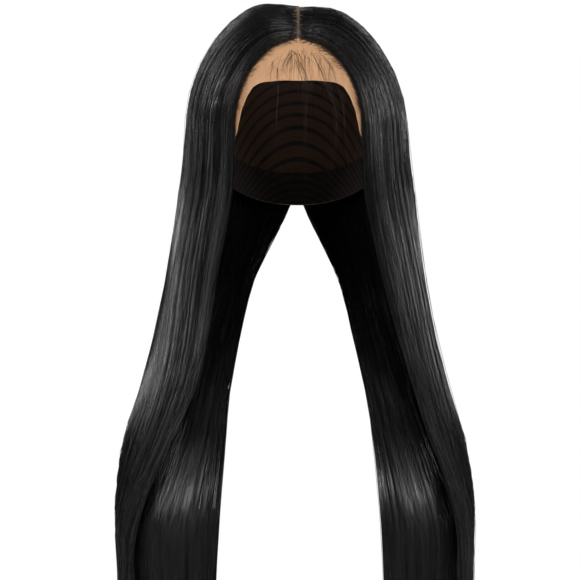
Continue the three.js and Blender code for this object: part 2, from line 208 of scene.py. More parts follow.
def wayAlong(points):
    return np.concatenate([[0], np.cumsum(stepsAlong(points))])


def sideways(share):
    # -1 middle, 0 front opening, 1 over the ear, 2 outside of the hem
    marks = (hairForm["medianGap"], faceHalfWidth, earHalfWidth, hairForm["hemHalfWidth"])
    return np.interp(share, (-1, 0, 1, 2), marks)


def backwards(share):
    # -1 back of the hair, 0 ear line, 1 front of the cap, 2 as far forward as the hair reaches
    return -np.interp(share, (-1, 0, 1, 2), (-hairBack, 0, headForm["halfLength"], hairForm["chestReach"]))


def hairOnHead(around, down, off):
    # down is 0 at the part and 1 at the ear line. Seen from above the hair runs straight from
    # its root, so over the cap it follows an arc about the foot of that line.
    rootY = -hairForm["hairlineFore"] + (hairForm["crownAft"] + hairForm["hairlineFore"]) * around
    angle = np.radians(-hairForm["templeAngle"] + (90 + hairForm["templeAngle"]) * around)
    runX, runY = np.cos(angle), np.sin(angle) - rootY
    length = np.hypot(runX, runY)
    runX, runY = runX / length, runY / length
    start = rootY * runY
    footX, footY = -start * runX, rootY - start * runY
    radius = np.sqrt(1 - footX**2 - footY**2)
    firstTurn = np.arcsin(start / radius)
    turn = firstTurn + (math.pi / 2 - firstTurn) * down
    planX = footX + runX * radius * np.sin(turn)
    planY = footY + runY * radius * np.sin(turn)
    netEnds = (hairForm["partNetAft"] + hairForm["hairlineFore"]) / (
        hairForm["crownAft"] + hairForm["hairlineFore"]
    )
    closing = easeIn(around, netEnds, netEnds + 0.2)
    halfGap = hairForm["partHalfWidth"] * (1 - closing) + hairForm["medianGap"] * closing
    return np.stack(
        [
            np.maximum(halfGap, planX * (headForm["halfWidth"] + off)),
            planY * (headForm["halfLength"] + off),
            earLine + radius * np.cos(turn) * (headForm["crownRise"] + off),
        ],
        -1,
    )


def edgeThinning(places, edges):
    first = 1 - easeIn(places, 0, hairForm["edgeWidth"])
    last = easeIn(places, 1 - hairForm["edgeWidth"], 1)
    return 1 - (1 - edges[0]) * first - (1 - edges[1]) * last


def frontThinning(around):
    # at its front edge the hair is as thin as the front lock
    edge, reach = lockPlans["front"]["edges"][0], hairForm["edgeWidth"] * lockPlans["front"]["share"][1]
    return edge + (1 - edge) * easeIn(around, 0, reach)


def hairDepth(side, down):
    # thickness of the hair over the cap, thin at its root and thickest at the ear line
    crown, ear, root = hairForm["headBulk"][side], hairForm["earBulk"][side], hairForm["rootThickness"]
    return (crown + (ear - crown) * down**3) * (root + (1 - root) * easeIn(down, 0, hairForm["rootRise"]))


def lockFaces(plan, side, places, headRows, hangingRows, lastDrop=None):
    # inside and outside of a lock as grids [row down the hair, place across it, xyz]
    arc = hairForm["lockGap"] / (earHalfWidth + hairBack)
    low, high = plan["share"]
    low, high = (low + arc if low > 0 else 0), (high - arc if high < 1 else 1)
    around = (low + (high - low) * places)[None, :]
    downs = np.linspace(0, 1, headRows)[:, None]
    headDepth = hairDepth(side, downs) * edgeThinning(places, plan["edges"])[None, :]
    hangingDepth = hairForm["hangingBulk"] * edgeThinning(places, (hairForm["hangingEdge"],) * 2)[:, None]
    p = places[:, None]
    faces = []
    for face in (0, 1):
        onHead = hairOnHead(around, downs, hairForm["foot"] + face * headDepth)
        keys = [-0.05, 0]  # twice, so that the lock leaves the ear line on a slant
        sections = [onHead[-1, :, :2]] * 2
        for drop, innerSide, innerFore, outerSide, outerFore, bow, thick, *spread in plan["rows"]:
            inner = np.array([sideways(innerSide), backwards(innerFore)])
            chord = np.array([sideways(outerSide), backwards(outerFore)]) - inner
            away = np.array([chord[1], -chord[0]]) / np.hypot(*chord)
            bulge = away * 4 * bow * hairForm["hangingBulk"]
            slope = chord + bulge * (1 - 2 * p)
            normal = np.stack([slope[:, 1], -slope[:, 0]], 1) / np.hypot(*slope.T)[:, None]
            section = inner + chord * p + bulge * p * (1 - p) + normal * hangingDepth * thick * (face - 0.5)
            if side < 0:
                section[:, 0] += hairForm["rightSpread"] * (spread[0] + (spread[1] - spread[0]) * places)
            keys.append(drop)
            sections.append(section)
        drops = np.linspace(0, lastDrop or keys[-1], hangingRows + 1)[1:]
        hanging = np.empty((hangingRows, len(places), 3))
        hanging[:, :, :2] = smoothThrough(keys, sections, drops)
        hanging[:, :, 0] = np.maximum(hanging[:, :, 0], hairForm["medianGap"])
        hanging[:, :, 2] = (earLine - drops * hairForm["fallLength"])[:, None]
        faces.append(np.concatenate([onHead, hanging]) * (side, 1, 1))
    return faces


def makePartings(rng, breadth):
    # narrow gaps that open and close along the hair: where each lies, and how deep it is
    count = int(breadth / partingLook["every"])
    return {
        "centre": rng.random(count),
        "drift": rng.uniform(-0.01, 0.01, count),
        "begin": rng.uniform(-0.25, 0.75, count),
        "length": rng.uniform(0.15, 0.6, count),
        "depth": rng.uniform(0.2, 1, count),
        "width": partingLook["width"] / breadth * rng.uniform(0.5, 1.6, count),
    }


def partingDepth(partings, place, travel):
    # 0 on the surface to 1 in the middle of a parting
    deepest = np.zeros(np.broadcast(place, travel).shape)
    for centre, drift, begin, length, depth, width in zip(*partings.values()):
        opened = easeIn(travel, begin, begin + 0.15)
        closed = easeIn(travel, begin + length, begin + length + 0.2)
        away = (place - centre - drift * travel) / width
        deepest = np.maximum(deepest, depth * opened * (1 - closed) * np.exp(-(away**2)))
    return deepest


def bundleSink(rng, places, travel):
    # how far the surface of a lock sinks between its thick bundles
    sink = np.zeros((len(travel), len(places)))
    for k in range(1, coreLook["bundles"]):
        centre = k / coreLook["bundles"] + 0.08 * (rng.random() - 0.5)
        drift = 0.03 * (rng.random() - 0.5) * travel
        reach = np.abs(places[None] - centre - drift[:, None]) / 0.06
        shown = easeIn(travel, rng.uniform(0.05, 0.3), 0.6)
        sink += coreLook["bundleDepth"] * rng.uniform(0.4, 1) * shown[:, None] * np.exp(-(reach**1.6))
    return sink


def sampleGrid(grid, row, column):
    row = np.clip(row, 0, grid.shape[0] - 1.001)
    column = np.clip(column, 0, grid.shape[1] - 1.001)
    i, j = row.astype(int), column.astype(int)
    a, b = (row - i)[..., None], (column - j)[..., None]
    upper = grid[i, j] * (1 - b) + grid[i, j + 1] * b
    lower = grid[i + 1, j] * (1 - b) + grid[i + 1, j + 1] * b
    return upper * (1 - a) + lower * a


def cornersOf(mesh):
    corners = np.empty(len(mesh.loops), int)
    mesh.loops.foreach_get("vertex_index", corners)
    return corners


def newPiece(name, verts, faces, material, alongHair, tone):
    mesh = bpy.data.meshes.new(name)
    mesh.from_pydata(verts, [], faces)
    mesh.polygons.foreach_set("use_smooth", np.ones(len(mesh.polygons), bool))
    mesh.uv_layers.new(name="alongHair").data.foreach_set("uv", alongHair[cornersOf(mesh)].ravel())
    mesh.attributes.new("strandTone", "FLOAT", "POINT").data.foreach_set("value", tone)
    mesh.materials.append(material)
    mesh.update()
    piece = bpy.data.objects.new(name, mesh)
    bpy.context.collection.objects.link(piece)
    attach(piece, "root")
    return piece


def tubes(name, paths, outward, radius, material, tone, lengthBefore=0):
    # closed three sided tubes along paths [strand, step, xyz]
    count, steps, _ = paths.shape
    run = np.gradient(paths, axis=1)
    run /= np.linalg.norm(run, axis=2, keepdims=True)
    across = np.cross(run, outward)
    across /= np.linalg.norm(across, axis=2, keepdims=True)
    up = np.cross(across, run)
    rings = []
    for angle in (math.pi / 6, math.pi * 5 / 6, math.pi * 3 / 2):  # one flat side lies outwards
        rings.append(paths + radius[..., None] * (math.sin(angle) * up + math.cos(angle) * -across))
    verts = np.stack(rings, 2).reshape(-1, 3)
    base = (np.arange(count)[:, None] * steps + np.arange(steps - 1)[None]) * 3
    quads = []
    for k in range(3):
        n = (k + 1) % 3
        quads.append(np.stack([base + k, base + n, base + 3 + n, base + 3 + k], -1).reshape(-1, 4))
    first = np.arange(count) * steps * 3
    last = first + (steps - 1) * 3
    firstCaps = np.stack([first, first + 2, first + 1], 1)
    lastCaps = np.stack([last, last + 1, last + 2], 1)
    faces = np.concatenate(quads).tolist() + firstCaps.tolist() + lastCaps.tolist()
    travelled = np.cumsum(np.linalg.norm(np.diff(paths, axis=1, prepend=paths[:, :1]), axis=2), axis=1)
    travelled += np.reshape(lengthBefore, (-1, 1))
    uv = np.stack([np.repeat(np.arange(count), steps * 3), np.repeat(travelled.ravel(), 3)], 1)
    if tone.ndim == 1:
        tone = np.repeat(tone[:, None], steps, 1)
    newPiece(name, verts.tolist(), faces, material, uv, np.repeat(tone.ravel(), 3))


def makeCore(label, inside, outside, travel, material, fromPart):
    rows, columns, _ = inside.shape
    loop = np.concatenate([outside, inside[:, ::-1]], 1)
    ring = 2 * columns
    verts = loop.reshape(-1, 3)
    i, j = np.meshgrid(np.arange(rows - 1), np.arange(ring), indexing="ij")
    n = (j + 1) % ring
    quads = np.stack([i * ring + j, i * ring + n, (i + 1) * ring + n, (i + 1) * ring + j], -1).reshape(-1, 4)
    c = np.arange(columns - 1)
    top = np.stack([c, ring - 1 - c, ring - 2 - c, c + 1], 1)
    base = (rows - 1) * ring
    tip = np.stack([base + c, base + c + 1, base + ring - 2 - c, base + ring - 1 - c], 1)
    quads = np.concatenate([quads, top, tip])
    p = verts[quads]
    spin = np.cross(p[:, 1] - p[:, 0], p[:, 2] - p[:, 0])
    volume = (p[:, 0] * spin).sum() + (p[:, 0] * np.cross(p[:, 2] - p[:, 0], p[:, 3] - p[:, 0])).sum()
    if volume < 0:
        quads = quads[:, ::-1]
    across = np.concatenate([np.linspace(0, coreLook["strands"], columns)] * 2)
    length = travel * (hairForm["fallLength"] + 0.12) + (0 if fromPart else 1)
    uv = np.stack([np.tile(across, rows), np.repeat(length, ring)], 1)
    # painted shade: the core gets a low tone, dark and dull, for the hair that lies under the loose strands
    return newPiece(label, verts.tolist(), quads.tolist(), material, uv, np.full(len(verts), 0.12))


def layStrands(name, rng, sheet, count, partings, material, inner=0.14, edges=0.08, fromPart=True):
    # loose strands over a lock: most on its outside, some on its inside, some round its two edges
    draw = lambda low=0, high=1: rng.uniform(low, high, (count, 1))
    inside, outside, outward = sheet
    rows, columns, _ = outside.shape
    breadth = stepsAlong(outside[coreLook["headRows"]]).sum()
    hanging = np.linspace(coreLook["headRows"] - 1, rows - 1, strandLook["hangingSteps"] + 1)
    row = np.concatenate([strandLook["headSteps"], hanging])
    step = np.linspace(0, 1, len(row))[None]
    kind = rng.random(count)
    place = (np.arange(count) + rng.random(count)) / count
    face = np.where(kind < inner, 0.0, 1.0)
    atEdge = (kind > inner) & (kind < inner + edges)
    place[atEdge] = np.round(rng.random(atEdge.sum()))
    face[atEdge] = rng.random(atEdge.sum())
    endAt = 1 - strandLook["tipSpread"] * rng.random(count) ** 2.2
    fromRoot = rng.random(count) < strandLook["fromRoot"]
    startAt = np.where(fromRoot, 0, rng.random(count) * strandLook["lateStart"])
    reach = startAt[:, None] + (endAt - startAt)[:, None] * step
    rowAt = np.interp(reach, step[0], row)
    along = rowAt / (rows - 1)

    # thin bundles, each with its own shade, that draw together towards the tips
    wisps = int(breadth / strandLook["wispWidth"])
    wispAt = np.sort(rng.random(wisps))
    isDark = rng.random(wisps) < strandLook["darkShare"]
    darkTone = rng.uniform(*strandLook["darkTone"], wisps)
    wispTone = np.where(isDark, darkTone, rng.uniform(*strandLook["lightTone"], wisps))
    wisp = np.abs(place[:, None] - wispAt[None]).argmin(1)
    gather = strandLook["gather"] * draw(0.3, 1) * easeIn(along, 0.1, 0.8)
    column = place[:, None] * (1 - gather) + wispAt[wisp][:, None] * gather
    slants = (rng.random(count) < strandLook["crossing"])[:, None]
    slantStart = draw(0, 0.6)
    slant = draw(-strandLook["slant"], strandLook["slant"])
    column = np.clip(column + slants * slant * easeIn(along, slantStart, 1.2), 0, 1)
    dip = partingDepth(partings, column, along) * ~slants
    at = column * (columns - 1)
    normal = sampleGrid(outward, rowAt, at)
    normal /= np.linalg.norm(normal, axis=2, keepdims=True)
    outer = sampleGrid(outside, rowAt, at)
    paths = outer + (sampleGrid(inside, rowAt, at) - outer) * (1 - face[:, None, None])

    # how high each one lies: in the top layer, down in a parting or standing off
    depth = draw() ** 1.3
    # painted highlight: a few strands lie near the top of the layer and get a much lighter colour
    paintedHighlight = rng.random(count) < strandLook["paintedHighlight"]
    depth[paintedHighlight] *= 0.15
    lift = strandLook["layer"] * (slants * 0.35 + 0.2 - depth) * easeIn(along, 0, 0.12)
    lift = lift - partingLook["depth"] * 0.5 * dip
    strays = (rng.random(count) < strandLook["stray"])[:, None]
    centre = draw(0.3, 1.1)
    spread = draw(0.12, 0.3)
    standOff = strandLook["strayLift"] * strays * draw() ** 1.5
    lift = lift + standOff * np.exp(-(((along - centre) / spread) ** 2))
    paths = paths + normal * (lift * (2 * face[:, None] - 1))[..., None]
    radius = strandLook["radius"] * draw(0.7, 1.2) * np.where(strays | slants, 0.75, 1)
    radius = radius * (0.7 + 0.3 * easeIn(step, 0, 0.08)) * (1 - 0.8 * easeIn(step, 0.82, 1))

    own = strandLook["ownTone"]
    tone = (1 - own) * wispTone[wisp][:, None] + own * draw()
    waves = along * draw(0.8, 2.5) + draw()
    tone = tone + own / 2 * np.sin(2 * math.pi * waves)
    # painted shade: strands that lie deeper under the top layer, and strands down in a parting, get a darker
    # colour
    tone = np.clip(tone * (1.1 - 0.35 * depth), 0, 1) * (1 - 0.85 * np.clip(dip * 1.5, 0, 1))
    # painted highlight: these strands' colour is raised far past the light colour
    tone[paintedHighlight] *= rng.uniform(*strandLook["paintedHighlightGain"], (paintedHighlight.sum(), 1))
    lengthBefore = np.where((startAt > 0) | (not fromPart), 1.0, 0.0)
    tubes(name, paths, normal, radius, material, tone, lengthBefore)


def makeLock(name, side, rng, material):
    plan = lockPlans[name]
    label = f"hair_{name}_{sideNames[side]}"
    places = np.linspace(0, 1, coreLook["columns"])
    inside, outside = lockFaces(plan, side, places, coreLook["headRows"], coreLook["hangingRows"])
    travel = np.linspace(0, 1, len(inside))
    through = outside - inside
    thickness = np.linalg.norm(through, axis=2, keepdims=True)
    outward = through / thickness
    sinkOut = np.minimum(bundleSink(rng, places, travel)[..., None], thickness * 0.4)
    sinkIn = np.minimum(bundleSink(rng, places, travel)[..., None] * 0.6, thickness * 0.3)
    taper = (1 - 0.6 * easeIn(travel, 0.88, 1))[:, None, None]
    middle = (inside + outside) / 2
    outside = middle + (outside - outward * sinkOut - middle) * taper
    inside = middle + (inside + outward * sinkIn - middle) * taper
    partings = makePartings(rng, stepsAlong(outside[coreLook["headRows"]]).sum())
    dips = partingDepth(partings, places[None], travel[:, None])[..., None]
    sunk = coreLook["sunk"] + dips * partingLook["depth"]
    sunk = np.minimum(sunk, np.linalg.norm(outside - inside, axis=2, keepdims=True) * 0.35)
    fromPart = name != "back"
    coreIn, coreOut = inside + outward * sunk, outside - outward * sunk
    core = makeCore(label + "_core", coreIn, coreOut, travel, material, fromPart)
    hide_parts(label)
    sheet, count = (inside, outside, outward), strandLook["count"][name]
    layStrands(label + "_strands", rng, sheet, count, partings, material, fromPart=fromPart)


def shareOfWay(points):
    way = wayAlong(points)
    return way / way[-1]


def roundTheCorner(points, shares):
    # the shortest curve round the outside of a row of points, at these shares of its length
    hull = []
    for point in points:
        while len(hull) > 1:
            a, b = hull[-1] - hull[-2], point - hull[-1]
            if a[0] * b[1] - a[1] * b[0] > 0:
                break
            hull.pop()
        hull.append(point)
    hull = np.array(hull)
    travelled = shareOfWay(hull)
    return np.stack([np.interp(shares, travelled, hull[:, k]) for k in (0, 1)], 1)


def makeSkin(side, rng, material):
    # The front and side locks lie so close that their top strands run on as one smooth fall
    columns, headRows, hangingRows = skinForm["columns"], coreLook["headRows"], coreLook["hangingRows"]
    around = np.linspace(0, skinForm["behind"], columns)[None]
    downs = np.linspace(0, 1, headRows)[:, None]
    full = frontThinning(around) - (1 - skinForm["backEdge"]) * easeIn(around, 0.6, skinForm["behind"])
    onHead = hairOnHead(around, downs, hairForm["foot"] + hairDepth(side, downs) * full) * (side, 1, 1)
    places = np.linspace(0, 1, skinForm["places"])
    lastDrop = lockPlans["side"]["rows"][-1][0]
    front, back = [
        lockFaces(lockPlans[name], side, places, headRows, hangingRows, lastDrop)[1][headRows:]
        for name in ("front", "side")
    ]
    onHeadShare = shareOfWay(onHead[-1])
    hanging = np.empty((hangingRows, columns, 3))
    for k in range(hangingRows):
        section = np.concatenate([front[k, :, :2], back[k, :, :2]]) * (side, 1)
        evened = easeIn(k, 0, hangingRows)
        shares = onHeadShare * (1 - evened) + np.linspace(0, 1, columns) * evened
        hanging[k, :, :2] = roundTheCorner(section, shares) * (side, 1)
        hanging[k, :, 2] = front[k, 0, 2]
    whole = np.concatenate([onHead, hanging])
    first = headRows // 2
    for _ in range(skinForm["rounding"]):
        inner = (whole[first - 1:-2] + 2 * whole[first:-1] + whole[first + 1:]) / 4
        inner[:, :, 2] = whole[first:-1, :, 2]
        whole[first:-1] = inner
        whole[first:, 1:-1] = (whole[first:, :-2] + 2 * whole[first:, 1:-1] + whole[first:, 2:]) / 4
    outward = np.cross(np.gradient(whole, axis=1), np.gradient(whole, axis=0))
    outward /= np.linalg.norm(outward, axis=2, keepdims=True) + 1e-12
    if (outward * (whole - (0.06 * side, 0, 0))).sum() < 0:
        outward = -outward
    partings = makePartings(rng, stepsAlong(whole[headRows]).sum())
    sheet = (whole - outward * skinForm["under"], whole, outward)
    count = strandLook["count"]["skin"]
    layStrands(f"hair_{sideNames[side]}_top_strands", rng, sheet, count, partings, material, 0, 0)


# Fine hairs: short ones along the hairline and over the part, long ones over the net
fineHair = {
    "radius": 0.000085,
    "short": 340,  # on each side of the hairline
    "low": 0.0010,  # height at which they leave the net
    "least": 0.002,  # how far ahead of the locks they start, as shares of the way round
    "most": 0.036,
    "atPart": 400,
    "partEnd": 0.7,  # how far back along the part
    "overPart": 0.0016,  # how far they lean into the part
    "paleShare": 0.3,  # share of them that are pale at the root,
    "paleLength": 0.0042,  # and for how long
    "netHem": -0.062,  # height of the net's free edge in the middle
    "loose": 44,
    "steps": 14,
}
# how many hairs hang together, and the x and z of points down them
frontWisps = {
    "centre": (7, [(-0.0012, -0.0423), (0.0045, -0.0562), (0.0060, -0.0661), (0.0056, -0.0860),
                   (0.0052, -0.1355)]),
    "left": (8, [(0.0118, -0.0365), (0.0198, -0.0525), (0.0248, -0.0676), (0.0300, -0.0844),
                 (0.0308, -0.1027), (0.0268, -0.1411)]),
    "outerLeft": (6, [(0.0159, -0.0361), (0.0263, -0.0487), (0.0327, -0.0676), (0.0360, -0.0812),
                      (0.0368, -0.0963), (0.0421, -0.1475)]),
    "right": (7, [(-0.0028, -0.0349), (-0.0100, -0.0456), (-0.0132, -0.0562), (-0.0108, -0.0645)]),
    "outerRight": (4, [(-0.0165, -0.0484), (-0.0159, -0.0724), (-0.0172, -0.0876), (-0.0182, -0.1027),
                       (-0.0212, -0.1371)]),
}


def awayFromHead(points):
    half = np.array([headForm["halfWidth"], headForm["halfLength"], headForm["crownRise"]])
    away = (points - (0, 0, earLine)) / half**2
    return away / np.linalg.norm(away, axis=-1, keepdims=True)


def hairTop(around, down, side):
    # height of the outside of the hair over the cap's inside
    return hairForm["foot"] + hairDepth(side, down) * frontThinning(around)


def makeShortHairs(side, rng, fine, material):
    draw = lambda low=0, high=1: rng.uniform(low, high, (count, 1))
    along = np.linspace(0, 1, 6)[None]
    count = fineHair["short"]
    down = draw() ** 1.2 * 0.86 + draw(0.05, 0.16) * along
    ahead = fineHair["least"] + fineHair["most"] * draw() ** 2.6
    around = -ahead * (1 - along) + draw(0.004, 0.02) * along
    low = fineHair["low"]
    off = low + (hairTop(around, down, side) + 0.0005 - low) * easeIn(along, 0.1, 0.8)
    paths = hairOnHead(around, down, off) * (side, 1, 1)
    radius = fineHair["radius"] * draw(0.7, 1.3) * (1 - 0.7 * easeIn(along, 0.6, 1))
    label = f"hairline_{sideNames[side]}_short_hairs"
    tubes(label, paths, awayFromHead(paths), radius, fine, np.full(count, 0.5))

    along = np.array([[0, 0.1, 0.25, 0.45, 0.7, 1]])
    count = fineHair["atPart"]
    around = fineHair["partEnd"] * draw()
    around = around + draw(-0.012, 0.012) * (1 - along)
    down = draw(0.05, 0.13) * along
    paths = hairOnHead(around, down, hairTop(around, down, side) + draw(0, 0.0007))
    paths[:, :, 0] -= draw() ** 2 * fineHair["overPart"] * (1 - along) ** 3
    paths = paths * (side, 1, 1)
    radius = strandLook["radius"] * draw(0.4, 0.9) * (1 - 0.8 * easeIn(along, 0.5, 1))
    tone = rng.uniform(0.1, 1, count)
    # a length below none keeps the root's shade for longer
    lengthBefore = -fineHair["paleLength"] * rng.random(count) ** 2
    lengthBefore *= rng.random(count) < fineHair["paleShare"]
    label = f"part_{sideNames[side]}_short_hairs"
    tubes(label, paths, awayFromHead(paths), radius, material, tone, lengthBefore)


def makeFrontWisps(rng, material):
    # loose hairs that start on the net and hang past its edge
    steps = fineHair["steps"]
    t = np.linspace(0, 1, steps)
    lines = []
    for count, points in frontWisps.values():
        points = np.array(points)
        run = wayAlong(points)
        for _ in range(count):
            begin, end = rng.uniform(0, 0.006), run[-1] * rng.uniform(0.55, 1)
            at = np.linspace(begin, end, steps)
            line = np.stack([smoothThrough(run, points[:, k], at) for k in (0, 1)], 1)
            apart = rng.normal(0, 0.0016) * (1 - at / run[-1]) + rng.normal(0, 0.0006)
            line[:, 0] += apart + rng.normal(0, 0.0007) * np.sin(at / run[-1] * math.pi * rng.uniform(1, 2.5))
            lines.append(line)
    for _ in range(fineHair["loose"]):
        x = rng.uniform(-0.024, 0.032)
        top = -0.033 - 9 * (x - 0.003) ** 2 - rng.uniform(0, 0.008)
        fall = rng.uniform(0.012, 0.045)
        curl = rng.normal(0, 0.004) * np.sin(t * math.pi * rng.uniform(0.6, 1.3))
        lines.append(np.stack([x + (x - 0.003) * 0.25 * t + curl, top - fall * t], 1))
    lines = np.array(lines)
    x, z = lines[:, :, 0], lines[:, :, 1]
    high = (np.maximum(z, fineHair["netHem"]) - earLine) / headForm["crownRise"]
    flat = np.sqrt(np.maximum(1 - (x / headForm["halfWidth"]) ** 2 - high**2, 0.05))
    off = 0.0012 + 0.0035 * t[None] * rng.random((len(lines), 1))
    y = np.minimum.accumulate(-(headForm["halfLength"] + off) * flat, axis=1)
    paths = np.stack([x, y, z], 2)
    radius = fineHair["radius"] * rng.uniform(0.6, 1.2, (len(lines), 1)) * (1 - 0.7 * t[None] ** 2)
    outward = awayFromHead(paths)
    outward[:, :, 2] = 0
    tubes("hairline_loose_wisps", paths, outward, radius, material, np.full(len(lines), 0.5))


# Materials
def setInputs(tree, node, inputs):
    # each input is a fixed value or another node's output
    for key, value in inputs.items():
        plug(tree, node.inputs[key.replace("_", " ")], value)


def plug(tree, socket, value):
    if isinstance(value, bpy.types.NodeSocket):
        tree.links.new(value, socket)
    else:
        socket.default_value = value


def newMaterial(name, **inputs):
    material = bpy.data.materials.new(name)
    material.use_nodes = True
    shader = material.node_tree.nodes["Principled BSDF"]
    setInputs(material.node_tree, shader, inputs)
    return material, material.node_tree, shader


def addNode(tree, kind, **inputs):
    node = tree.nodes.new(kind)
    setInputs(tree, node, inputs)
    return node


def useGroup(tree, group, **inputs):
    node = tree.nodes.new("ShaderNodeGroup")
    node.node_tree = group
    setInputs(tree, node, inputs)
    return node


def newGroup(name, inputs, outputs):
    # the first input is the map, the others are numbers
    group = bpy.data.node_groups.new(name, "ShaderNodeTree")
    group.interface.new_socket(name="Map", in_out="INPUT", socket_type="NodeSocketVector")
    for label, value in inputs.items():
        socket = group.interface.new_socket(name=label, in_out="INPUT", socket_type="NodeSocketFloat")
        socket.default_value = value
    for label in outputs:
        group.interface.new_socket(name=label, in_out="OUTPUT", socket_type="NodeSocketFloat")
    return group, group.nodes.new("NodeGroupInput").outputs, group.nodes.new("NodeGroupOutput")


def uvNode(tree, name):
    node = tree.nodes.new("ShaderNodeUVMap")
    node.uv_map = name
    return node.outputs["UV"]


def noise(tree, where, scale, detail, roughness=0.5):
    node = addNode(tree, "ShaderNodeTexNoise", Vector=where, Scale=scale, Detail=detail, Roughness=roughness)
    return node.outputs["Fac"]


def maths(tree, operation, *values):
    node = tree.nodes.new("ShaderNodeMath")
    node.operation = operation
    for socket, value in zip(node.inputs, values):
        plug(tree, socket, value)
    return node.outputs["Value"]


def mapRange(tree, value, start, end, smooth=False):
    node = addNode(tree, "ShaderNodeMapRange", Value=value, From_Min=start[0], From_Max=start[1])
    setInputs(tree, node, {"To Min": end[0], "To Max": end[1]})
    if smooth:
        node.interpolation_type = "SMOOTHSTEP"
    return node.outputs["Result"]


def mixColour(tree, factor, a, b):
    node = tree.nodes.new("ShaderNodeMix")
    node.data_type = "RGBA"
    colours = [socket for socket in node.inputs if socket.type == "RGBA"]
    for socket, value in zip([node.inputs["Factor"], *colours], (factor, a, b)):
        plug(tree, socket, value)
    return [socket for socket in node.outputs if socket.type == "RGBA"][0]


def addBump(tree, shader, height, relief, **under):
    strength, depth = relief
    bump = addNode(tree, "ShaderNodeBump", Height=height, Strength=strength, Distance=depth, **under)
    tree.links.new(bump.outputs["Normal"], shader.inputs["Normal"])


def makeFibreGroup():
    # fine streaks that run along the hair
    group, source, out = newGroup("fibreStreaks", {"Across": 1.0, "Along": 60.0}, ("Streak", "Height"))
    scale = addNode(group, "ShaderNodeCombineXYZ", X=source["Across"], Y=source["Along"])
    stretched = group.nodes.new("ShaderNodeVectorMath")
    stretched.operation = "MULTIPLY"
    plug(group, stretched.inputs[0], source["Map"])
    plug(group, stretched.inputs[1], scale.outputs["Vector"])
    fine = noise(group, stretched.outputs["Vector"], 1.0, 2.0, 0.6)
    broad = noise(group, stretched.outputs["Vector"], 0.11, 2.0)
    both = addNode(group, "ShaderNodeMix", Factor=0.4, A=fine, B=broad)
    setInputs(group, out, {"Streak": both.outputs["Result"], "Height": fine})
    return group


hairLook = {
    "dark": (0.0009, 0.0008, 0.0009, 1),
    "light": (0.0042, 0.0036, 0.0034, 1),
    "root": (0.40, 0.29, 0.205, 1),  # where the net shows through between the knots
    "rootReach": 0.0012,
    "roughness": (0.60, 0.42),  # dull strands and shiny ones
    "gloss": (0.0, 1.0),  # weight of the smooth coat on them
    "glossRoughness": 0.24,
    "glossIndex": 1.72,
    "under": 0.13,  # specular level under the coat
    "across": 0.9,  # streaks for each strand
    "glints": 430,  # for each metre of a strand
    "uneven": (0.35, 1.55),
    "relief": (0.4, 0.0003),  # strength and depth of the glints
    "waves": 20.0,  # for each metre of a bundle
    "waveHeight": 0.018,
    "apart": 60.0,  # how differently two shades of bundle lean
}


def makeHairMaterial(fibres):
    material, tree, shader = newMaterial(
        "blackFibre",
        Coat_Roughness=hairLook["glossRoughness"],
        Coat_IOR=hairLook["glossIndex"],
        Specular_IOR_Level=hairLook["under"],
    )
    alongHair = uvNode(tree, "alongHair")
    travelled = addNode(tree, "ShaderNodeSeparateXYZ", Vector=alongHair).outputs["Y"]
    streaks = useGroup(tree, fibres, Map=alongHair, Across=hairLook["across"], Along=hairLook["glints"])
    tone = tree.nodes.new("ShaderNodeAttribute")
    tone.attribute_name = "strandTone"
    tone = tone.outputs["Fac"]
    varied = mapRange(tree, streaks.outputs["Streak"], (0.3, 0.7), hairLook["uneven"])
    shade = maths(tree, "MULTIPLY", tone, varied)
    colour = mixColour(tree, shade, hairLook["dark"], hairLook["light"])
    colour.node.clamp_factor = False  # the strands with the painted highlight go beyond the light colour
    root = mapRange(tree, travelled, (0, hairLook["rootReach"]), (1, 0), smooth=True)
    bare = maths(tree, "MULTIPLY", root, varied)
    bare.node.use_clamp = True
    plug(tree, shader.inputs["Base Color"], mixColour(tree, bare, colour, hairLook["root"]))
    plug(tree, shader.inputs["Roughness"], mapRange(tree, shade, (0, 1), hairLook["roughness"]))
    plug(tree, shader.inputs["Coat Weight"], mapRange(tree, shade, (0, 1), hairLook["gloss"]))
    # each thin bundle leans a little on its own, so that single ones catch the light
    bundle = maths(tree, "MULTIPLY", tone, hairLook["apart"])
    wave = maths(tree, "MULTIPLY", travelled, hairLook["waves"])
    place = addNode(tree, "ShaderNodeCombineXYZ", X=bundle, Y=wave)
    lean = noise(tree, place.outputs["Vector"], 1.0, 0.0)
    bend = addNode(tree, "ShaderNodeBump", Height=lean, Strength=1.0, Distance=hairLook["waveHeight"])
    glints = streaks.outputs["Height"]
    addBump(tree, shader, glints, hairLook["relief"], Normal=bend.outputs["Normal"])
    return material


fineLook = {
    "roughness": 0.45,
    "dark": (0.005, 0.003, 0.002, 1),  # brown where the light comes through a single hair
    "light": (0.032, 0.018, 0.011, 1),
    "shades": 80.0,
}


def makeFineMaterial():
    material, tree, shader = newMaterial("fineFibre", Roughness=fineLook["roughness"])
    shades = noise(tree, uvNode(tree, "alongHair"), fineLook["shades"], 2.0)
    plug(tree, shader.inputs["Base Color"], mixColour(tree, shades, fineLook["dark"], fineLook["light"]))
    return material


def makeMeshGroup():
    # knitted net: threads round uneven holes, as a mask and a height
    inputs = {"Holes": 900.0, "Thread": 0.2, "Wander": 0.3}
    group, source, out = newGroup("knittedNet", inputs, ("Mask", "Height"))
    cells = addNode(group, "ShaderNodeTexVoronoi", Vector=source["Map"], Scale=source["Holes"])
    cells.feature = "DISTANCE_TO_EDGE"
    plug(group, cells.inputs["Randomness"], source["Wander"])
    edge = mapRange(group, cells.outputs["Distance"], (0, source["Thread"]), (1, 0), smooth=True)
    setInputs(group, out, {"Mask": edge, "Height": edge})
    return group


def useNet(tree, uv, look):
    values = {"Holes": look["holes"], "Thread": look["threadWidth"], "Wander": look["wander"]}
    return useGroup(tree, netGroup, Map=uv, **values)


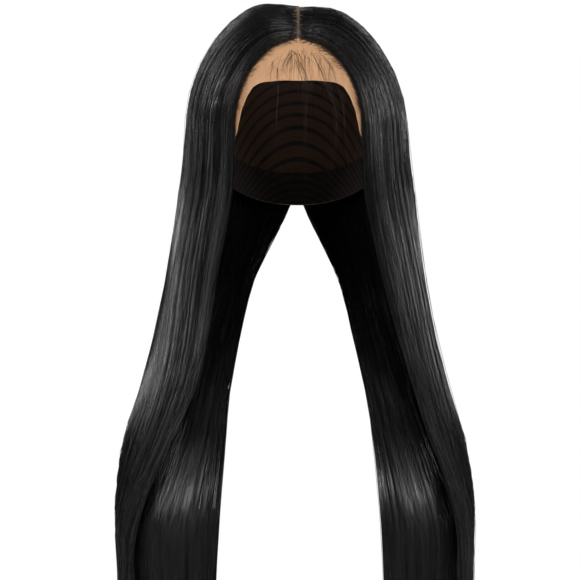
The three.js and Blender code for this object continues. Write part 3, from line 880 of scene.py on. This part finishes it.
netLook = {
    "thread": (0.97, 0.575, 0.31, 1),
    "shade": (0.80, 0.435, 0.23, 1),
    "holes": 1000,  # for each metre
    "threadWidth": 0.30,
    "wander": 0.35,
    "cover": (0.62, 0.98),  # how much the threads and the film between them hide
    "mottle": 60.0,
    "roughness": 0.62,
    "relief": (0.5, 0.0002),
}


def makeNetMaterial():
    material, tree, shader = newMaterial("sheerNet", Roughness=netLook["roughness"])
    uv = uvNode(tree, "alongHead")
    net = useNet(tree, uv, netLook)
    plug(tree, shader.inputs["Alpha"], mapRange(tree, net.outputs["Mask"], (0, 1), netLook["cover"]))
    mottle = noise(tree, uv, netLook["mottle"], 4.0, 0.6)
    plug(tree, shader.inputs["Base Color"], mixColour(tree, mottle, netLook["shade"], netLook["thread"]))
    addBump(tree, shader, net.outputs["Height"], netLook["relief"])
    return material


capLook = {
    "net": (0.150, 0.082, 0.048, 1),
    "hole": (0.045, 0.026, 0.017, 1),
    "weft": (0.014, 0.011, 0.010, 1),
    "stitch": (0.045, 0.034, 0.028, 1),
    "holes": 620,  # for each metre
    "threadWidth": 0.34,
    "wander": 0.25,
    "rows": 0.011,  # between two rows of weft
    "rowEdge": (0.0013, 0.0019),  # from the middle of a row to where it starts and ends to fade
    "stitches": 190.0,
    "roughness": 0.75,
    "relief": (0.7, 0.0005),
}


def makeCapMaterial():
    # stretch net with the sewn rows that carry the hair
    material, tree, shader = newMaterial("stretchNet", Roughness=capLook["roughness"])
    uv = uvNode(tree, "alongHead")
    net = useNet(tree, uv, capLook)
    down = addNode(tree, "ShaderNodeSeparateXYZ", Vector=uv).outputs["Y"]
    row = maths(tree, "PINGPONG", down, capLook["rows"] / 2)
    weft = mapRange(tree, row, capLook["rowEdge"], (1, 0), smooth=True)
    stitch = addNode(tree, "ShaderNodeTexWave", Vector=uv, Scale=capLook["stitches"], Distortion=0.6)
    stitch.wave_profile = "TRI"
    ground = mixColour(tree, net.outputs["Mask"], capLook["hole"], capLook["net"])
    sewn = mixColour(tree, stitch.outputs["Fac"], capLook["weft"], capLook["stitch"])
    plug(tree, shader.inputs["Base Color"], mixColour(tree, weft, ground, sewn))
    height = maths(tree, "MULTIPLY_ADD", weft, stitch.outputs["Fac"], net.outputs["Height"])
    addBump(tree, shader, height, capLook["relief"])
    return material


bandLook = {
    "rib": (0.052, 0.040, 0.034, 1),
    "paintedValleyShade": (0.012, 0.009, 0.008, 1),
    "ribs": 330 / (2 * math.pi),
    "threads": 1100 / (2 * math.pi),
    "roughness": 0.68,
    "relief": (0.8, 0.0006),
}


def makeBandMaterial():
    # woven elastic: ribs along the band, crossed by the covering threads
    material, tree, shader = newMaterial("wovenElastic", Roughness=bandLook["roughness"])
    uv = uvNode(tree, "alongHead")
    ribs = addNode(tree, "ShaderNodeTexWave", Vector=uv, Scale=bandLook["ribs"], Distortion=0.4)
    ribs.bands_direction = "Y"
    threads = addNode(tree, "ShaderNodeTexWave", Vector=uv, Scale=bandLook["threads"], Distortion=0.8)
    both = maths(tree, "MULTIPLY", ribs.outputs["Fac"], threads.outputs["Fac"])
    # painted shade: the colour darkens where the weave is low, following the bump
    plug(tree, shader.inputs["Base Color"], mixColour(tree, both, bandLook["paintedValleyShade"], bandLook["rib"]))
    addBump(tree, shader, both, bandLook["relief"])
    return material


netGroup = makeMeshGroup()
hairMaterial = makeHairMaterial(makeFibreGroup())
fineMaterial = makeFineMaterial()
print("materials made")

# Cap: a stretch net behind a sheer front, with an elastic band along the nape. Degrees over the
# cap from its front, for each place across it from the middle to the ear.
netEdge = {0: 21.5, 14: 22, 27: 20.5, 33: 10, 39: -3, 46: -13, 53: -16, 60: -6, 66: 12, 70: 25}
netLift = {0: 0, 14: 0.05, 27: 0.35, 33: 1, 39: 0.12, 46: 0, 53: 0, 60: 0, 66: 0, 70: 0}
netSeam = {0: 104.3, 14: 103.5, 27: 101, 33: 99, 39: 96.5, 46: 93, 53: 88.5, 60: 83, 66: 78, 70: 75}
capSeam = {0: 104.3, 27: 101, 46: 93, 53: 88.5, 60: 83, 66: 78, 70: 75, 74: 72, 79: 72}
capHem = {0: 214, 27: 215.5, 46: 218.5, 53: 221, 60: 222, 66: 196, 70: 170, 74: 150, 79: 122}
capForm = {
    "seamGap": 0.0005,
    "bandHeight": 0.024,
    "bandGap": 0.0001,
    "bandEnd": 60,
    "netWall": 0.0004,
    "netOff": 0.0003,
    "netLift": 0.004,
    "netReach": 70,
    "capWall": 0.0011,
    "capReach": 79,
    "bandWall": 0.0018,
    "scallop": 0.6,  # degrees, the small waves of the cut net edge
    "netCut": ((0.190, 0.148), 0.0240),  # laid flat: width and length, then area
    "crownCut": ((0.215, 0.194), 0.0299),
    "bandCut": ((0.024, 0.223), None),
}


def degreesOver(distance, across):
    radius = (headForm["halfLength"] + headForm["crownRise"]) / 2 * np.cos(np.radians(across))
    return np.degrees(distance / radius)


def headSheet(name, node, reach, steps, startAt, endAt, off, wall, material, liftAt=None):
    # a sheet that follows the cap's form, from a grid, with its thickness from a solidify modifier
    bpy.ops.object.select_all(action="DESELECT")
    bpy.ops.mesh.primitive_grid_add(x_subdivisions=steps[0], y_subdivisions=steps[1], size=2)
    sheet = bpy.context.object
    mesh = sheet.data
    sheet.name = mesh.name = name
    flat = np.empty(len(mesh.vertices) * 3)
    mesh.vertices.foreach_get("co", flat)
    flat = flat.reshape(-1, 3)
    across = flat[:, 0] * reach
    share = (flat[:, 1] + 1) / 2
    over = startAt(np.abs(across)) * (1 - share) + endAt(np.abs(across)) * share
    out = off + (liftAt(np.abs(across), share) if liftAt else 0)
    a, b = np.radians(across), np.radians(over)
    rise = np.where(np.sin(b) < 0, headForm["napeDrop"], headForm["crownRise"]) + out
    place = np.stack(
        [
            (headForm["halfWidth"] + out) * np.sin(a),
            -(headForm["halfLength"] + out) * np.cos(a) * np.cos(b),
            earLine + rise * np.cos(a) * np.sin(b),
        ],
        -1,
    )
    mesh.vertices.foreach_set("co", place.ravel())
    # the weave's own map, in metres over the cap
    mean = (headForm["halfLength"] + headForm["crownRise"]) / 2
    map2d = np.stack([a * headForm["halfWidth"], (b - math.pi / 2) * mean * np.cos(a)], 1)
    layer = mesh.uv_layers[0]
    layer.name = "alongHead"
    layer.data.foreach_set("uv", map2d[cornersOf(mesh)].ravel())
    mesh.update()
    bpy.ops.object.modifier_add(type="SOLIDIFY")
    solid = sheet.modifiers[0]
    solid.thickness, solid.offset, solid.use_even_offset = wall, 1, True
    bpy.ops.object.modifier_apply(modifier=solid.name)
    bpy.ops.object.shade_smooth_by_angle(angle=math.radians(40))
    sheet.data.materials.append(material)
    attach(sheet, "root")
    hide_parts(node)
    return sheet


def throughTable(table, across):
    return smoothThrough(list(table), list(table.values()), across)


def makeCap():
    gap, height = capForm["seamGap"] / 2, capForm["bandHeight"]
    # the crown ends just above the band
    bandShare = lambda across: np.where(
        across > capForm["bandEnd"], 0, degreesOver(height + capForm["bandGap"], across)
    )
    scallop = lambda across: capForm["scallop"] * (
        np.sin(across * 1.7) + 0.5 * np.sin(across * 4.3 + 1)
    ) * easeIn(across, 24, 32)
    net = headSheet(
        "lace_front_net", "lace_front", capForm["netReach"], (130, 70),
        lambda across: throughTable(netEdge, across) + scallop(across),
        lambda across: throughTable(netSeam, across) - degreesOver(gap, across),
        capForm["netOff"], capForm["netWall"], makeNetMaterial(),
        lambda across, share: (
            capForm["netLift"] * throughTable(netLift, across) * np.maximum(0, 1 - share / 0.25) ** 2
        ),
    )
    crown = headSheet(
        "cap_crown_net", "cap_crown", capForm["capReach"], (110, 90),
        lambda across: throughTable(capSeam, across) + degreesOver(gap, across),
        lambda across: throughTable(capHem, across) - bandShare(across),
        0.0, capForm["capWall"], makeCapMaterial(),
    )
    band = headSheet(
        "nape_band_elastic", "nape_band", capForm["bandEnd"], (100, 12),
        lambda across: throughTable(capHem, across) - degreesOver(height, across),
        lambda across: throughTable(capHem, across),
        0.0, capForm["bandWall"], makeBandMaterial(),
    )


makeCap()
print("cap made")

seeds = {"front": 11, "side": 23, "back": 37, "skin": 53, "short": 61, "wisps": 73}


def drawFrom(name, side=1):
    return np.random.default_rng(seeds[name] + (side < 0) * 5)


for side in sideNames:
    for name in lockPlans:
        makeLock(name, side, drawFrom(name, side), hairMaterial)
    makeSkin(side, drawFrom("skin", side), hairMaterial)
    makeShortHairs(side, drawFrom("short", side), fineMaterial, hairMaterial)
    print("hair laid on the wearer's", sideNames[side])
makeFrontWisps(drawFrom("wisps"), fineMaterial)

# Camera and light
cameraView = {
    "target": (-0.0068, 0, -0.235),
    "distance": 1.9,
    "elevation": 4,
    "width": 0.493,  # what the frame takes in at the target
}


def makeCamera():
    data = bpy.data.cameras.new("camera")
    camera = bpy.data.objects.new("camera", data)
    bpy.context.collection.objects.link(camera)
    rise = math.radians(cameraView["elevation"])
    x, y, z = cameraView["target"]
    reach = cameraView["distance"]
    camera.location = (x, y - reach * math.cos(rise), z + reach * math.sin(rise))
    camera.rotation_euler = (math.pi / 2 - rise, 0, 0)
    data.sensor_width = 36
    data.lens = data.sensor_width * reach / cameraView["width"]
    bpy.context.scene.camera = camera


studio = {
    "floorHeight": -0.66,
    "floorColour": (0.86, 0.86, 0.86, 1),
    "floorFades": (0.2, 0.8),  # metres from the middle, where it runs out into white
    "room": 0.008,  # dim grey light from all round
}
# where each box of light stands, where it aims, its size, power and beam. All but the top one are pairs.
softboxes = {
    "key": ((1.1, -1.5, 0.5), (0, 0, -0.2), (0.7, 0.4), 16.8, 180),  # in front, from above
    "rim": ((1.2, 0.6, 0.3), (0, 0, -0.1), (0.4, 0.4), 5.5, 180),  # behind, for the outer edges
    "low": ((0.3, -1.9, 0.6), (0.105, -0.1, -0.425), (1.1, 0.3), 0.27, 11),  # for the sheen low down
    "top": ((0, -0.7, 1.3), (0, 0, 0), (1.2, 0.4), 1.5, 180),
}


def addSoftbox(name, side, place, aim, size, power, beam):
    data = bpy.data.lights.new(name, "AREA")
    data.shape = "RECTANGLE"
    data.size, data.size_y = size
    data.energy = power
    data.spread = math.radians(beam)
    lamp = bpy.data.objects.new(name, data)
    bpy.context.collection.objects.link(lamp)
    place, aim = Vector(place) * Vector((side, 1, 1)), Vector(aim) * Vector((side, 1, 1))
    lamp.location = place
    lamp.rotation_euler = (aim - place).to_track_quat("-Z", "Y").to_euler()


def whiteForCamera(tree, plain, seen, output):
    # The camera sees white, and the object is lit by the plain shader. It gives back whether a ray
    # comes from the camera, and the factor to choose by.
    seen.inputs["Color"].default_value = (1, 1, 1, 1)
    seen.inputs["Strength"].default_value = 1
    choice = tree.nodes.new("ShaderNodeMixShader")
    tree.links.new(plain, choice.inputs[1])
    tree.links.new(seen.outputs[0], choice.inputs[2])
    tree.links.new(choice.outputs["Shader"], output.inputs["Surface"])
    return tree.nodes.new("ShaderNodeLightPath").outputs["Is Camera Ray"], choice.inputs["Fac"]


def makeFloor():
    # a pale floor that runs out into the white of the backdrop
    bpy.ops.object.select_all(action="DESELECT")
    place = (0, 0, studio["floorHeight"])
    bpy.ops.mesh.primitive_circle_add(vertices=96, radius=6, fill_type="NGON", location=place)
    floor = bpy.context.object
    floor.name = "floor"
    material, tree, shader = newMaterial("paleFloor", Roughness=0.9, Base_Color=studio["floorColour"])
    camera, factor = whiteForCamera(
        tree, shader.outputs["BSDF"], tree.nodes.new("ShaderNodeEmission"), tree.nodes["Material Output"]
    )
    where = tree.nodes.new("ShaderNodeTexCoord")
    length = tree.nodes.new("ShaderNodeVectorMath")
    length.operation = "LENGTH"
    plug(tree, length.inputs[0], where.outputs["Object"])
    away = mapRange(tree, length.outputs["Value"], studio["floorFades"], (0, 1), smooth=True)
    plug(tree, factor, maths(tree, "MULTIPLY", away, camera))
    floor.data.materials.append(material)


def makeStudio():
    world = bpy.data.worlds.new("studio")
    world.use_nodes = True
    tree = world.node_tree
    room = tree.nodes["Background"]
    room.inputs["Color"].default_value = (1, 0.98, 0.96, 1)
    room.inputs["Strength"].default_value = studio["room"]
    camera, factor = whiteForCamera(
        tree, room.outputs["Background"], tree.nodes.new("ShaderNodeBackground"), tree.nodes["World Output"]
    )
    tree.links.new(camera, factor)
    bpy.context.scene.world = world
    for side in (-1, 1):
        for name, box in softboxes.items():
            if name != "top" or side > 0:
                addSoftbox(f"{name}Box{side}", side, *box)
    bpy.context.scene.view_settings.view_transform = "Standard"


makeCamera()
makeFloor()
makeStudio()
print("camera and light set")
